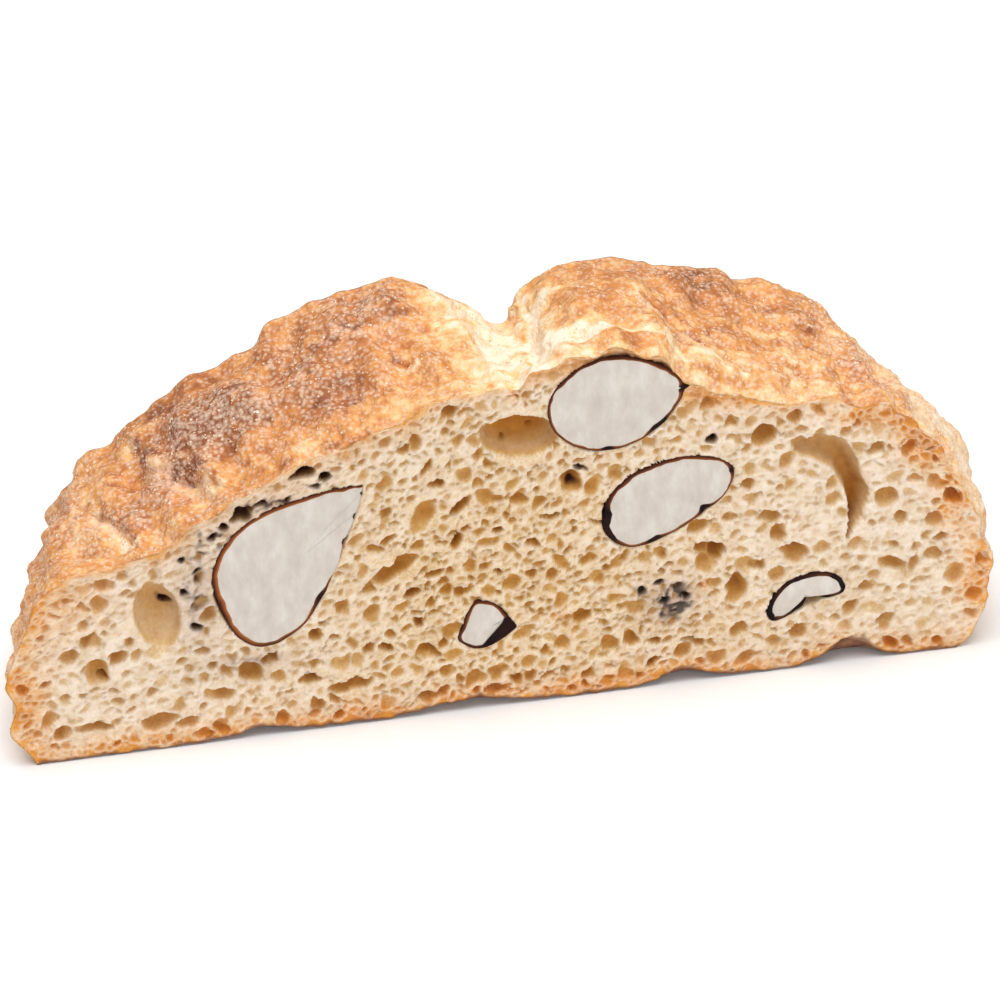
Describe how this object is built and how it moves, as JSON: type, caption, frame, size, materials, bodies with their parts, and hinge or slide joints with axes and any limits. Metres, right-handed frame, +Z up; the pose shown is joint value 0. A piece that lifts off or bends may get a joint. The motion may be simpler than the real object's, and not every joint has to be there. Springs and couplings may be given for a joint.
{
  "type": "almond biscotto slice",
  "caption": "Slice of a baked almond biscotto loaf with a lumpy cracked crust, bubbly crumb on both cut faces and cut almonds, standing on its flat bottom crust.",
  "frame": {"origin": "centre of the bottom of the slice, on the surface it stands on", "axes": "+X along the slice, +Y from the front cut face to the back cut face, +Z up from the tray side to the crust"},
  "size_m": [0.1078, 0.022, 0.0447],
  "materials": {
    "biscuit": "matt, porous pale crumb with a browned, sugar-dusted crust",
    "almond": "satin cut almond flesh with a thin brown skin"
  },
  "bodies": {
    "root": {"biscuit": "biscuit", "almond_left": "almond", "almond_crown": "almond", "almond_middle": "almond", "almond_small": "almond", "almond_bean": "almond", "almond_back_left": "almond", "almond_back_middle": "almond", "almond_back_right": "almond"}
  },
  "joints": []
}
